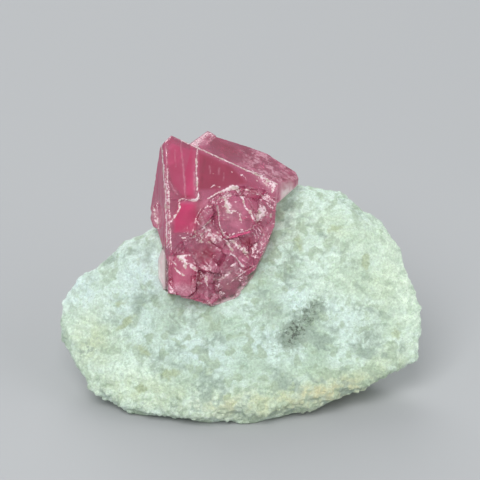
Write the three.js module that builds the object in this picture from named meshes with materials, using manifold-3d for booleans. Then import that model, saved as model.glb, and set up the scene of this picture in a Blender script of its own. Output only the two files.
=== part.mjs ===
// A gem spinel crystal on white marble: one large pink crystal, broken in front, seated in a
// hand-sized piece of its marble matrix. Units are millimetres, +Z is up, and the origin is under
// the middle of the specimen, on the level base that it rests on.
//
// The display side is described in a leaned frame: x to the right, y up the specimen, z out
// towards the viewer. Its middle is MIDDLE_HEIGHT above the base, and it is leaned back by LEAN
// from the vertical.
import * as THREE from "three";
import { ConvexGeometry } from "three/addons/geometries/ConvexGeometry.js";
import { ImprovedNoise } from "three/addons/math/ImprovedNoise.js";
import { mergeVertices } from "three/addons/utils/BufferGeometryUtils.js";
import Module from "manifold-3d";

const wasm = await Module();
wasm.setup();

// Driving dimensions
const LEAN = THREE.MathUtils.degToRad(28);
const MIDDLE_HEIGHT = 13;
const SEAT_GAP = 0.3;
const MARBLE_DETAIL = 19;
const CRYSTAL_PLACE = new THREE.Vector3(-3.6, 8.95, 7.4);

const X_AXIS = new THREE.Vector3(1, 0, 0);
const UP = new THREE.Vector3(0, 0, 1);
const FACE_TURN = Math.PI / 2 - LEAN;
const ORIGIN = new THREE.Vector2(0, 0);
const noise = new ImprovedNoise();

// Turns a vector of the leaned frame into the level frame.
function level(x, y, z) {
  return new THREE.Vector3(x, y, z).applyAxisAngle(X_AXIS, FACE_TURN);
}

// Solids and meshes

function solidOf(geometry) {
  const bare = geometry.clone();
  bare.deleteAttribute("normal");
  bare.deleteAttribute("uv");
  const merged = mergeVertices(bare, 1e-4);
  return new wasm.Manifold(
    new wasm.Mesh({
      numProp: 3,
      vertProperties: new Float32Array(merged.attributes.position.array),
      triVerts: new Uint32Array(merged.index.array),
    }),
  );
}

function geometryOf(solid) {
  const { vertProperties, triVerts } = solid.getMesh();
  const geometry = new THREE.BufferGeometry();
  geometry.setAttribute("position", new THREE.BufferAttribute(vertProperties, 3));
  geometry.setIndex(new THREE.BufferAttribute(triVerts, 1));
  geometry.computeVertexNormals();
  return geometry;
}

// Takes away all that lies beyond a plane, given by a point on it and its outward normal.
const CUTTER_SIZE = 200;
function cutBeyond(solid, point, normal) {
  const cutter = new THREE.BoxGeometry(CUTTER_SIZE, CUTTER_SIZE, CUTTER_SIZE);
  cutter.translate(0, 0, CUTTER_SIZE / 2);
  cutter.applyQuaternion(new THREE.Quaternion().setFromUnitVectors(UP, normal));
  cutter.translate(point.x, point.y, point.z);
  return solid.subtract(solidOf(cutter));
}

// A convex block with flat faces. Each face is three points on its plane, and centre is a point
// inside. grow moves every face outwards.
function facetedBlock(centre, faces, grow) {
  const middle = new THREE.Vector3(...centre);
  let solid = solidOf(new THREE.BoxGeometry(60, 60, 60));
  for (const [a, b, c] of Object.values(faces)) {
    const point = new THREE.Vector3(...a);
    const alongFace = new THREE.Vector3(...c).sub(point);
    const normal = new THREE.Vector3(...b).sub(point).cross(alongFace).normalize();
    if (normal.dot(point.clone().sub(middle)) < 0) normal.negate();
    solid = cutBeyond(solid, point.addScaledVector(normal, grow), normal);
  }
  return solid;
}

// A block with a flat front of the given outline and sides that spread backwards. front is the
// plane's height at x = y = 0, with its slopes along x and y. With an inset, the front is that
// much smaller, and slopes down to the outline where it meets the plane of rim.
function frontedBlock({ outline, front, back, spread = 0, inset = 0, rim }, grow) {
  const middle = new THREE.Vector2();
  outline.forEach(([x, y]) => middle.add(new THREE.Vector2(x, y).divideScalar(outline.length)));
  const points = outline.flatMap(([x, y]) => {
    const away = new THREE.Vector2(x, y).sub(middle).normalize();
    const onPlane = ([height, slopeX, slopeY], outwards) => {
      const at = new THREE.Vector2(x, y).addScaledVector(away, outwards + grow);
      return new THREE.Vector3(at.x, at.y, height + slopeX * at.x + slopeY * at.y + grow);
    };
    const foot = onPlane([back, 0, 0], spread).setZ(back - grow);
    const corner = onPlane(front, -inset);
    return rim ? [corner, onPlane(rim, 0), foot] : [corner, foot];
  });
  return solidOf(new ConvexGeometry(points));
}

// A shell-like break, as a faceted ellipsoid to take away.
const SCOOP_DETAIL = 2;
function scoop({ at, radii, turn = 0 }) {
  const geometry = new THREE.IcosahedronGeometry(1, SCOOP_DETAIL);
  geometry.scale(...radii);
  geometry.rotateZ(THREE.MathUtils.degToRad(turn));
  geometry.translate(...at);
  return solidOf(geometry);
}

// The spinel crystal, in its own frame: x right, y up, z out of its front face

const BODY_CENTRE = [0, 3, -5];
const BODY_FACES = {
  front: [[-6.0, 13.9, -0.6], [-6.6, -3.1, 0.3], [8.7, 7.2, -1.4]],
  ridgeBevel: [[-6.9, 12.9, -0.48], [-6.1, -3.0, 0.26], [-6.97, 4.75, -0.68]],
  leftSide: [[-7.2, 12.6, -1.0], [-6.75, -3.1, -0.35], [-8.8, 5.3, -6.0]],
  topLeftCorner: [[-7.3, 12.7, -1.0], [-6.0, 13.95, -0.6], [-7.0, 13.0, -6.0]],
  top: [[-6.0, 13.9, -0.6], [8.7, 7.2, -1.4], [-4.0, 12.4, -6.0]],
  backUpper: [[-7.0, 11.0, -6.5], [6.0, 8.0, -9.0], [0.0, 0.0, -12.5]],
  backLeft: [[-8.9, 5.3, -6.1], [-7.55, 12.6, -2.2], [-4.0, 3.0, -11.5]],
  backLower: [[0.0, 0.0, -12.5], [-6.0, -7.0, -8.0], [6.0, -5.0, -8.0]],
  right: [[8.75, 7.2, -1.4], [8.3, 1.7, -1.6], [8.0, 5.0, -8.0]],
  lowerRight: [[8.3, 1.5, -1.6], [5.6, -4.6, -1.6], [6.6, -2.6, -6.0]],
  bottomRight: [[5.6, -4.6, -1.6], [-0.4, -9.4, -2.0], [2.0, -7.0, -7.0]],
  bottomLeft: [[-6.6, -7.6, -1.6], [-0.4, -9.4, -2.0], [-3.0, -7.6, -7.0]],
  leftWaist: [[-8.9, 3.2, -6.0], [-7.45, -0.6, -6.0], [-6.75, -3.1, -0.35]],
};

const ROOF_CENTRE = [4, 8, -5];
const ROOF_FACES = {
  roof: [[-3.5, 12.7, -0.9], [8.7, 7.15, -1.5], [4.4, 12.4, -7.0]],
  front: [[-6.0, 13.9, -0.75], [-6.6, -3.1, 0.15], [8.7, 7.2, -1.55]],
  left: [[-2.6, 12.4, -1.0], [-0.9, 14.3, -6.0], [-3.0, 8.0, -5.0]],
  back: [[0.1, 14.3, -6.4], [4.5, 12.75, -7.3], [2.0, 6.0, -11.4]],
  backMiddle: [[4.5, 12.75, -7.3], [6.9, 12.1, -8.0], [5.0, 6.0, -11.4]],
  backRight: [[6.9, 12.1, -8.0], [11.7, 8.9, -6.6], [8.0, 5.0, -10.2]],
  right: [[8.7, 8.1, -1.55], [8.6, 4.4, -1.8], [11.7, 8.0, -5.6]],
  rightTip: [[11.8, 8.6, -5.4], [11.5, 7.2, -5.8], [10.4, 8.0, -9.0]],
  rightUnder: [[8.5, 4.4, -1.8], [11.4, 7.0, -5.8], [8.5, 4.8, -9.0]],
  bottom: [[0.0, 2.5, -1.0], [5.0, 2.5, -1.0], [0.0, 2.5, -8.0]],
};

const FRONTED_BLOCKS = {
  brokenEnd: {
    outline: [[-3.6, 12.7], [-1.05, 14.75], [0.1, 14.05], [-2.0, 12.1]],
    front: [22.4, -0.41, -2.02],
    back: -7.3,
  },
  lowerBlock: {
    outline: [[-6.4, -2.6], [-3.2, -2.5], [-2.3, -4.4], [-2.7, -7.6], [-3.8, -8.4], [-6.5, -7.9]],
    front: [1.0, 0.05, 0.02],
    back: -6.0,
    spread: 0.15,
  },
  centreShard: {
    outline: [
      [0.4, 5.2], [1.7, 6.2], [3.1, 6.8], [4.3, 5.6],
      [5.6, 2.7], [4.9, 0.8], [1.4, -0.2], [0.5, 1.7],
    ],
    front: [-0.25, -0.14, -0.02],
    back: -4.0,
    spread: 0.9,
  },
  leftKnob: {
    outline: [
      [-9.0, 2.5], [-8.6, 1.3], [-7.5, 0.7], [-6.6, 2.0],
      [-7.0, 4.2], [-7.9, 4.8], [-8.7, 4.0],
    ],
    front: [-2.6, 0.1, 0],
    back: -7.0,
    spread: 0.1,
  },
  paleLeftFlank: {
    outline: [[-7.4, -1.8], [-7.9, -3.2], [-7.9, -5.8], [-7.2, -7.5], [-4.5, -7.0], [-5.0, -1.6]],
    front: [-2.4, 0.1, 0],
    inset: 0.5,
    rim: [-3.7, 0, 0],
    back: -7.5,
  },
  paleSkirt: {
    outline: [
      [7.6, -0.6], [6.9, -2.3], [5.8, -4.3], [5.2, -5.8],
      [2.7, -8.7], [-0.5, -9.8], [-3.4, -8.6], [0, -3.5],
    ],
    front: [-2.35, 0, 0.015],
    inset: 1.5,
    rim: [-4.6, 0, -0.21],
    back: -8.0,
  },
};

const SCOOPS = {
  upperBreak: { at: [4.9, 0.4, 3.2], radii: [9.0, 8.8, 5.6], turn: 20 },
  lowerBreak: { at: [0.2, -5.2, 3.0], radii: [7.6, 7.2, 5.0] },
  lowerHollow: { at: [2.4, -7.0, 2.6], radii: [5.6, 7.2, 5.6], turn: 12 },
  rightRipple: { at: [9.0, -0.6, 2.6], radii: [4.8, 5.6, 4.8], turn: -15 },
};

function crystalSolid(grow = 0) {
  const block = (name) => frontedBlock(FRONTED_BLOCKS[name], grow);
  const body = facetedBlock(BODY_CENTRE, BODY_FACES, grow);
  const roof = facetedBlock(ROOF_CENTRE, ROOF_FACES, grow);
  let solid = body.add(roof).add(block("brokenEnd"));
  if (grow === 0) {
    for (const each of Object.values(SCOOPS)) solid = solid.subtract(scoop(each));
  }
  for (const name of ["paleSkirt", "paleLeftFlank", "leftKnob", "lowerBlock", "centreShard"]) {
    solid = solid.add(block(name));
  }
  return solid;
}

// The marble matrix

// The rim of the display side, all round: the direction it faces in degrees from x, how far out
// it is, how far forward, and how far the stone behind it turns away from the viewer.
const RIM = [
  { faces: 90, out: 16.8, forward: -2.0, turn: 40 },
  { faces: 55, out: 20.7, forward: -2.0, turn: 38 },
  { faces: 41, out: 23.1, forward: -1.5, turn: 34 },
  { faces: 25, out: 26.4, forward: -0.5, turn: 30 },
  { faces: 9, out: 26.7, forward: 0.3, turn: 27 },
  { faces: -3, out: 25.9, forward: 1.0, turn: 24 },
  { faces: -69, out: 17.6, forward: 3.5, turn: 12 },
  { faces: -90, out: 16.5, forward: 5.5, turn: 0 },
  { faces: -117, out: 21.8, forward: 4.2, turn: 8 },
  { faces: -136, out: 24.0, forward: 3.4, turn: 14 },
  { faces: -152, out: 26.8, forward: 2.5, turn: 20 },
  { faces: 180, out: 25.9, forward: 1.0, turn: 26 },
  { faces: 126, out: 16.4, forward: -1.0, turn: 32 },
  { faces: 107, out: 15.3, forward: -2.0, turn: 36 },
];
const RIM_FRONT_TURN = 38;

// The broad faces: outward direction in the leaned frame, and distance from the middle
const BROAD_FACES = {
  display: { out: [0.0, 0.21, 0.978], away: 4.2 },
  displayLeft: { out: [-0.26, 0.12, 0.958], away: 6.6 },
  displayRight: { out: [0.22, 0.1, 0.97], away: 6.3 },
  back: { out: [0.06, 0.5, -0.86], away: 11.0 },
  backLeft: { out: [-0.5, 0.2, -0.84], away: 14.0 },
  backRight: { out: [0.52, 0.12, -0.84], away: 13.2 },
  lowerBack: { out: [0.05, -0.35, -0.93], away: 14.5 },
};
const EDGE_SHARPNESS = 34;

// The point deep in the stone that its surface is measured from, and its rough half sizes
const HEART = level(0, -1, -4);
const HALF_SIZES = [25, 16, 9];

// Hollows and swellings of the display side: place, size along and across, turn and height
const FORMS = [
  { at: [8.6, -2.8], size: [3.6, 1.7], turn: 52, height: -0.9 },
  { at: [4.6, 6.2], size: [2.6, 4.6], turn: 8, height: -0.6 },
  { at: [-6.4, -2.6], size: [3.2, 2.2], turn: -20, height: -0.7 },
  { at: [-13.2, -3.4], size: [4.2, 1.6], turn: 40, height: -0.6 },
  { at: [-20.6, -6.2], size: [3.0, 1.6], turn: 35, height: -0.7 },
  { at: [17.5, -4.6], size: [2.6, 2.2], turn: -30, height: -0.6 },
  { at: [19.5, 1.0], size: [3.6, 2.0], turn: -40, height: -0.4 },
  { at: [-16.5, -9.6], size: [3.4, 2.4], turn: 20, height: 0.7 },
  { at: [11.0, -11.4], size: [6.0, 1.6], turn: 12, height: 0.7 },
  { at: [-1.5, -13.0], size: [5.0, 1.5], turn: 0, height: 0.6 },
  { at: [2.0, -7.0], size: [5.0, 3.0], turn: 10, height: 0.5 },
  { at: [21.0, -7.0], size: [2.4, 2.4], turn: 0, height: 0.5 },
];

function marbleFaces() {
  const faces = Object.values(BROAD_FACES).map(({ out, away }) => {
    return { out: level(...out).normalize(), away };
  });
  for (const { faces: angle, out, forward, turn } of RIM) {
    const around = THREE.MathUtils.degToRad(angle);
    for (const tilt of [RIM_FRONT_TURN, -turn].map(THREE.MathUtils.degToRad)) {
      const direction = level(
        Math.cos(around) * Math.cos(tilt),
        Math.sin(around) * Math.cos(tilt),
        Math.sin(tilt),
      );
      faces.push({ out: direction, away: out * Math.cos(tilt) + forward * Math.sin(tilt) });
    }
  }
  faces.forEach((face) => (face.away -= face.out.dot(HEART)));
  return faces;
}

// How far the stone reaches along a direction: its flat faces meet in slightly rounded edges.
function reach(direction, faces) {
  const sum = faces.reduce((total, { out, away }) => {
    return total + Math.max(0, direction.dot(out) / away) ** EDGE_SHARPNESS;
  }, 0);
  return sum ** (-1 / EDGE_SHARPNESS);
}

// Lumps, ledges and coarse grain of the broken stone
function roughness(p) {
  const swell = 0.8 * noise.noise(p.x / 9, p.y / 9, p.z / 9 + 3);
  const lumps = 0.7 * noise.noise(p.x / 3.8 + 7, p.y / 3.8, p.z / 3.8);
  const ledges = 0.7 * (0.3 - Math.abs(noise.noise(p.x / 2.7, p.y / 2.7 + 5, p.z / 2.2)));
  return swell + lumps + ledges;
}

// The height of the hollows and swellings over a point of the display side
function formHeight(p) {
  const face = p.clone().applyAxisAngle(X_AXIS, -FACE_TURN);
  if (face.z < 0) return 0;
  return FORMS.reduce((total, { at, size, turn, height }) => {
    const angle = THREE.MathUtils.degToRad(turn);
    const away = new THREE.Vector2(face.x - at[0], face.y - at[1]).rotateAround(ORIGIN, -angle);
    return total + height * Math.exp(-((away.x / size[0]) ** 2) - (away.y / size[1]) ** 2);
  }, 0);
}

function marbleSolid() {
  const geometry = new THREE.IcosahedronGeometry(1, MARBLE_DETAIL);
  const position = geometry.attributes.position;
  const faces = marbleFaces();
  for (let i = 0; i < position.count; i++) {
    const [x, y, z] = HALF_SIZES.map((size, axis) => size * position.getComponent(i, axis));
    const direction = level(x, y, z).normalize();
    const smooth = HEART.clone().addScaledVector(direction, reach(direction, faces));
    const point = smooth.clone().addScaledVector(direction, roughness(smooth) + formHeight(smooth));
    position.setXYZ(i, point.x, point.y, point.z);
  }
  geometry.translate(0, 0, MIDDLE_HEIGHT);
  const ground = new THREE.Vector3(0, 0, 0);
  return cutBeyond(solidOf(geometry), ground, new THREE.Vector3(0, 0, -1));
}

// Materials

const spinelPink = new THREE.MeshStandardMaterial({
  color: 0xbb4a72,
  roughness: 0.12,
  metalness: 0,
});
const marbleWhite = new THREE.MeshStandardMaterial({
  color: 0xd2e6d8,
  roughness: 0.75,
  metalness: 0,
});

// Assembly

function leanedGroup() {
  const group = new THREE.Group();
  group.position.set(0, 0, MIDDLE_HEIGHT);
  group.rotation.x = FACE_TURN;
  return group;
}

const crystal = new THREE.Mesh(geometryOf(crystalSolid()), spinelPink);
crystal.name = "spinel_crystal";
crystal.position.copy(CRYSTAL_PLACE);

const display = leanedGroup();
display.add(crystal);
display.updateMatrixWorld(true);

// The seat in the marble is the crystal's own form with a small gap all round.
const seat = geometryOf(crystalSolid(SEAT_GAP)).applyMatrix4(crystal.matrixWorld);
const marble = new THREE.Mesh(geometryOf(marbleSolid().subtract(solidOf(seat))), marbleWhite);
marble.name = "marble_matrix";

const specimen = new THREE.Group();
specimen.add(display, marble);

export default specimen;
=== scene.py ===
# The looks of a pink spinel crystal on white marble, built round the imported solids. Lengths here
# are millimetres, and a mesh or a place is scaled to metres when it is handed to Blender.
import itertools
import math

import bpy
import numpy as np
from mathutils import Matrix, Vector
from mathutils.bvhtree import BVHTree


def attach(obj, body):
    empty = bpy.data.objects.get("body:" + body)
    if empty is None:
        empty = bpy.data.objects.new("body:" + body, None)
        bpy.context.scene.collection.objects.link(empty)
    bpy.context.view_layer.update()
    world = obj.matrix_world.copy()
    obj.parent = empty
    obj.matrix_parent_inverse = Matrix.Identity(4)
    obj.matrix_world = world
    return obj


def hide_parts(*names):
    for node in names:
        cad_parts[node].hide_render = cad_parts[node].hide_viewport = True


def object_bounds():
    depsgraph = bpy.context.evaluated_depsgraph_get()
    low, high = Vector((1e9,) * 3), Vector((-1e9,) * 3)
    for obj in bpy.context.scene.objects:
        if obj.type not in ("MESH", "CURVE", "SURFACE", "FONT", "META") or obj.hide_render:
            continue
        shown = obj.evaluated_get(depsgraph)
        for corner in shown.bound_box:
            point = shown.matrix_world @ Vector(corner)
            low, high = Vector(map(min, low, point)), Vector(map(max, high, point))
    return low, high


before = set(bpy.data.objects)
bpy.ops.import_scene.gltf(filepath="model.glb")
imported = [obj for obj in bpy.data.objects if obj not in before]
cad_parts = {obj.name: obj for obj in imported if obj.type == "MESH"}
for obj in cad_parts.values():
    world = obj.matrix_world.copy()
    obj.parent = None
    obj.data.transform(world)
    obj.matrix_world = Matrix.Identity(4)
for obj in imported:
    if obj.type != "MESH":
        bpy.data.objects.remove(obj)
cad_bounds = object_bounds()

MM = 0.001

# The display side leans back from the vertical about its middle, and the crystal sits on it. The
# leaned frame and the crystal's own have x to the right, y up and z out of the display side.
LEAN = math.radians(28)
MIDDLE_HEIGHT = 13.0
CRYSTAL_PLACE = np.array([-3.6, 8.95, 7.4])

# The camera looks squarely at this place of the leaned face, and takes in this width there.
VIEW_ELEVATION = LEAN
VIEW_DISTANCE = 500.0
VIEW_WIDTH = 67.2
VIEW_AIM = (-0.14, 8.4)
SENSOR_WIDTH = 36.0

# How fine the faces of the two pieces are
MARBLE_VOXEL = 0.23
CRYSTAL_VOXEL = 0.135


# Frames


def leaned(vectors):
    """Directions in the world, along the axes of the leaned frame."""
    x, y, z = vectors.T
    up = y * math.sin(LEAN) + z * math.cos(LEAN)
    out = -y * math.cos(LEAN) + z * math.sin(LEAN)
    return np.stack([x, up, out], axis=1)


def to_display(points):
    """World points, in the leaned frame of the display side."""
    return leaned(points - np.array([0, 0, MIDDLE_HEIGHT]))


def from_display(point):
    """A point of the leaned frame, in the world."""
    x, up, out = point
    y = up * math.sin(LEAN) - out * math.cos(LEAN)
    z = MIDDLE_HEIGHT + up * math.cos(LEAN) + out * math.sin(LEAN)
    return np.array([x, y, z])


def to_crystal(points):
    """World points, in the crystal's own frame."""
    return to_display(points) - CRYSTAL_PLACE


# Noise


def hashed(cells, seed):
    """A repeatable number from 0 to 1 for each cell of whole numbers."""
    mixed = cells.astype(np.int64) @ np.array([73856093, 19349663, 83492791]) + seed * 7919
    mixed = (mixed ^ (mixed >> 15)) * 0x2C1B3C6D & 0xFFFFFFFF
    mixed = (mixed ^ (mixed >> 12)) * 0x297A2D39 & 0xFFFFFFFF
    return ((mixed ^ (mixed >> 15)) & 0xFFFFFF) / 0xFFFFFF


def lumps(points, size, seed):
    """Smooth noise from -1 to 1, with lumps of about that size."""
    scaled = points / size
    low = np.floor(scaled)
    part = scaled - low
    part = part * part * (3 - 2 * part)
    total = np.zeros(len(points))
    for corner in itertools.product((0, 1), repeat=3):
        weight = np.prod(np.where(corner, part, 1 - part), axis=1)
        total += weight * hashed(low + corner, seed)
    return 2 * total - 1


def grains(points, size, seed):
    """The nearest of many scattered grains: the way from its middle, its cell and how far its rim is."""
    scaled = points / size
    cell = np.floor(scaled)
    nearest = np.full(len(points), np.inf)
    second = np.full(len(points), np.inf)
    way = np.zeros_like(points)
    owner = np.zeros_like(points)
    for offset in itertools.product((-1, 0, 1), repeat=3):
        other = cell + offset
        middle = other + np.stack([hashed(other, seed + k) for k in range(3)], axis=1)
        away = scaled - middle
        distance = np.linalg.norm(away, axis=1)
        closer = distance < nearest
        second = np.where(closer, nearest, np.minimum(second, distance))
        nearest = np.where(closer, distance, nearest)
        way[closer] = away[closer]
        owner[closer] = other[closer]
    return way * size, owner, (second - nearest) * size


def facets(points, size, slope, seed):
    """Heights of a surface of tilted flat grains with a shallow groove round each."""
    way, owner, rim = grains(points, size, seed)
    tilt = np.stack([hashed(owner, seed + 10 + k) for k in range(3)], axis=1) * 2 - 1
    step = (hashed(owner, seed + 20) * 2 - 1) * 0.5 * slope * size
    groove = smooth(rim, 0.35 * size, 0)
    return slope * np.sum(way * tilt, axis=1) + step - 0.12 * size * slope * groove


def rounded_grains(points, size, height, seed):
    """Heights of a surface of rounded grains, some of which stand out further than others."""
    _, owner, rim = grains(points, size, seed)
    return height * ((0.3 + hashed(owner, seed + 20)) * smooth(rim, 0, 0.5 * size) - 0.35)


def rotated(points, degrees):
    """Points in axes of which the first runs along that direction in the x-y plane."""
    angle = math.radians(degrees)
    along = points[:, 0] * math.cos(angle) + points[:, 1] * math.sin(angle)
    aside = points[:, 1] * math.cos(angle) - points[:, 0] * math.sin(angle)
    return np.column_stack([along, aside, points[:, 2:]])


def smooth(values, start, end):
    """A smooth step from 0 at start to 1 at end."""
    t = np.clip((values - start) / (end - start), 0, 1)
    return t * t * (3 - 2 * t)


def in_patches(places, listed):
    """How strongly each place in a plane lies in one of the soft oval patches."""
    total = np.zeros(len(places))
    for middle, sizes, turn, strength in listed:
        away = rotated(places - np.array(middle), turn) / np.array(sizes)
        total = np.maximum(total, strength * np.exp(-np.sum(away**2, axis=1)))
    return total


def in_face(places, corners):
    """1 inside a convex outline whose corners go round clockwise, 0 outside, with a soft rim."""
    depth = np.full(len(places), np.inf)
    for start, end in zip(np.array(corners), np.roll(corners, -1, axis=0)):
        along = (end - start) / np.linalg.norm(end - start)
        inward = np.array([along[1], -along[0]])
        depth = np.minimum(depth, (places - start) @ inward)
    return smooth(depth, -0.3, 0.5)


# Meshes


def triples_of(items, name, kind):
    """The three numbers that each point, normal or triangle of a mesh has under a name."""
    numbers = np.empty(len(items) * 3, dtype=kind)
    items.foreach_get(name, numbers)
    return numbers.reshape(-1, 3)


def points_of(mesh):
    return triples_of(mesh.vertices, "co", np.float32).astype(float)


def normals_of(mesh):
    return triples_of(mesh.vertex_normals, "vector", np.float32).astype(float)


def arrays_of(mesh):
    """The points of a CAD node's mesh, in millimetres, and its triangles."""
    mesh.calc_loop_triangles()
    return points_of(mesh) / MM, triples_of(mesh.loop_triangles, "vertices", np.int32)


def welded(points, triangles):
    """The same surface with its doubled points joined, so that it is closed."""
    keys = np.round(points, 4)
    _, first, owner = np.unique(keys, axis=0, return_index=True, return_inverse=True)
    return points[first], owner.reshape(-1)[triangles]


def fine_mesh(points, triangles, voxel):
    """A closed mesh of small even faces round a solid."""
    mesh = bpy.data.meshes.new("coarse")
    mesh.from_pydata(points.tolist(), [], triangles.tolist())
    coarse = bpy.data.objects.new("coarse", mesh)
    bpy.context.scene.collection.objects.link(coarse)
    remesh = coarse.modifiers.new("even", "REMESH")
    remesh.mode = "VOXEL"
    remesh.voxel_size = voxel
    shaped = coarse.evaluated_get(bpy.context.evaluated_depsgraph_get())
    fine = bpy.data.meshes.new_from_object(shaped)
    bpy.data.objects.remove(coarse)
    return fine


def tree_of(points, triangles):
    """A surface, ready to be searched for its nearest points."""
    return BVHTree.FromPolygons(points.tolist(), triangles.tolist())


def nearest_on(tree, points):
    """The nearest points of a surface, the normals there and how far off they are."""
    found = [tree.find_nearest(Vector(point)) for point in points]
    places = np.array([place for place, _, _, _ in found])
    normals = np.array([normal for _, normal, _, _ in found])
    distances = np.array([distance for _, _, _, distance in found])
    return places, normals, distances


def set_points(mesh, points):
    mesh.vertices.foreach_set("co", points.astype(np.float32).ravel())
    mesh.update()


def add_masks(mesh, masks):
    """Keeps numbers from 0 to 1 at each point, under their names, for the material to read."""
    for name, values in masks.items():
        attribute = mesh.attributes.new(name, "FLOAT", "POINT")
        attribute.data.foreach_set("value", np.clip(values, 0, 1).astype(np.float32))


def piece_from(mesh, name, node, material):
    """A piece in metres that stands for a CAD node, kept within the part's box."""
    low, high = (np.array(corner) / MM for corner in cad_bounds)
    set_points(mesh, np.clip(points_of(mesh), low, high) * MM)
    mesh.materials.append(material)
    piece = bpy.data.objects.new(name, mesh)
    bpy.context.scene.collection.objects.link(piece)
    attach(piece, "root")
    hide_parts(node)
    return piece


# The marble

# Patches of the display side: middle, half length and half width, turn in degrees and strength
GREY_PATCHES = [
    ((7.3, -4.5), (2.5, 1.6), 50, 1.15),
    ((9.6, -2.0), (2.6, 1.5), 52, 0.85),
    ((6.4, 5.0), (2.4, 1.3), 70, 0.5),
    ((17.6, -5.2), (1.7, 1.2), 40, 0.55),
    ((-21.4, -6.8), (1.9, 0.9), 35, 0.42),
    ((-8.8, -2.8), (2.0, 1.6), 0, 0.42),
    ((4.4, -1.6), (1.8, 1.2), -30, 0.42),
]
OLIVE_GRAINS = [
    ((-15.9, -3.0), (1.9, 0.62), 42, 1.0),
    ((-13.6, -6.9), (1.5, 0.9), -30, 0.75),
    ((-16.9, -0.6), (1.5, 0.8), 30, 0.62),
    ((-9.9, 1.2), (0.6, 1.7), 0, 0.8),
    ((-9.9, -10.2), (1.8, 1.0), 10, 0.8),
    ((-13.7, -12.2), (1.3, 0.8), 0, 0.85),
    ((17.4, 5.4), (0.55, 1.6), 0, 1.0),
    ((8.0, 7.8), (0.8, 1.6), 10, 0.7),
    ((13.0, 9.9), (2.2, 0.7), 8, 0.62),
    ((-4.4, -9.8), (1.1, 0.8), 0, 0.65),
    ((21.6, -4.4), (0.9, 1.5), 0, 0.7),
    ((-1.8, -13.2), (0.9, 0.7), 0, 0.8),
    ((7.2, -12.0), (0.7, 1.2), 0, 0.8),
]
YELLOW_PATCHES = [
    ((-20.8, -5.8), (3.4, 3.8), 0, 0.9),
    ((-14.0, -12.6), (8.0, 2.4), -8, 0.8),
    ((6.0, -14.0), (12.0, 2.6), 8, 1.0),
    ((13.0, -12.0), (8.0, 2.2), 14, 1.0),
    ((20.0, -9.0), (5.0, 3.0), 20, 0.7),
    ((19.0, 2.0), (5.0, 7.0), 0, 0.4),
    ((12.0, 10.0), (8.0, 2.5), -10, 0.45),
]
POWDER_PATCHES = [
    ((-13.0, 4.0), (6.0, 4.5), 30, 0.9),
    ((-22.5, 1.5), (4.0, 4.0), 0, 1.0),
    ((-6.0, -7.0), (6.0, 2.5), 0, 0.8),
    ((3.0, -5.5), (4.0, 2.0), 10, 0.8),
    ((14.0, -2.0), (3.5, 2.5), -30, 0.7),
    ((7.5, 0.5), (2.5, 2.5), 0, 0.7),
    ((-16.0, 0.0), (7.0, 5.0), 20, 0.7),
]
# Painted reflection: warm yellow-brown light thrown onto the lower rim of the stone from below.
WARM_REFLECTION_PATCHES = [
    ((11.5, -12.7), (6.0, 1.6), 10, 0.85),
    ((-1.0, -14.3), (6.5, 1.6), 0, 0.5),
]
# Painted light: the left and right edges, the upper left and the lower rim are made whiter, as if lit more.
PAINTED_LIGHT_PATCHES = [
    ((-22.0, -1.0), (6.0, 6.0), 0, 1.0),
    ((-14.0, 4.0), (8.0, 4.0), 35, 0.5),
    ((23.5, 2.0), (5.0, 11.0), 15, 1.0),
    ((16.0, 8.0), (7.0, 4.0), -35, 0.5),
    ((13.0, 3.0), (5.0, 5.0), 0, 0.6),
    ((0.0, -15.0), (16.0, 3.0), 0, 0.5),
    ((-15.0, -11.0), (7.0, 4.0), -20, 0.8),
]
STONE_PATCHES = {
    "grey": GREY_PATCHES,
    "olive": OLIVE_GRAINS,
    "yellow": YELLOW_PATCHES,
    "powder": POWDER_PATCHES,
    "painted_light": PAINTED_LIGHT_PATCHES,
    "warm_reflection": WARM_REFLECTION_PATCHES,
}

# The first two grey patches are rotten pits, sunk this deep.
PITS = GREY_PATCHES[:2]
PIT_DEPTH = 0.3

# The heights of the stone's swellings and its powder, and the size and height of its coarse and
# its fine grains
SWELL_HEIGHT = 0.2
POWDER_HEIGHT = 0.03
COARSE_GRAIN = (1.4, 0.17)
FINE_GRAIN = (0.7, 0.1)

# The grains are higher by this share at the lower rim, and the stone is calmer by this share to
# the right.
ROUGHER_RIM = 0.6
CALMER_RIGHT = 0.35

# The direction of the streaks in degrees, and how they are drawn out along it
STREAK_TURN = -17
STREAK_STRETCH = np.array([0.3, 1, 1])

# Stone this near the crystal is the wall of its seat. It is drawn in until it grips the crystal
# slightly, and the stone round it is drawn in less and less up to the reach.
SEAT_WALL = 0.34
SEAT_GRIP = 0.03
SEAT_REACH = 1.4

# Points up to this height belong to the flat base, and stay at their height.
BASE_BAND = 0.02


def on_display_side(display):
    """1 on the display side, fading to 0 behind it."""
    return smooth(display[:, 2], -6, -1)


def stone_relief(points, display):
    """Lumps, streaks and sugary grains of the broken stone, rougher at its lower rim."""
    swell = SWELL_HEIGHT * (lumps(points, 3.1, 11) + lumps(points, 1.6, 12))
    streaks = lumps(rotated(display, STREAK_TURN) * STREAK_STRETCH, 0.8, 13)
    streaks = streaks * (0.06 + 0.12 * smooth(display[:, 0], 0, 10))
    rougher = 1 + ROUGHER_RIM * smooth(display[:, 1], -9.5, -13.0)
    coarse = rougher * rounded_grains(points, *COARSE_GRAIN, 30)
    fine = rougher * rounded_grains(points, *FINE_GRAIN, 60)
    rotten = in_patches(display[:, :2], PITS) * on_display_side(display)
    pit = rotten * (facets(points, 0.55, 0.5, 70) - PIT_DEPTH)
    powder = POWDER_HEIGHT * lumps(points, 0.4, 90)
    calm = smooth(display[:, 0], 6, 13) * smooth(display[:, 1], -9, -4)
    return (swell + coarse) * (1 - CALMER_RIGHT * calm) + streaks + fine + powder + pit


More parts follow.
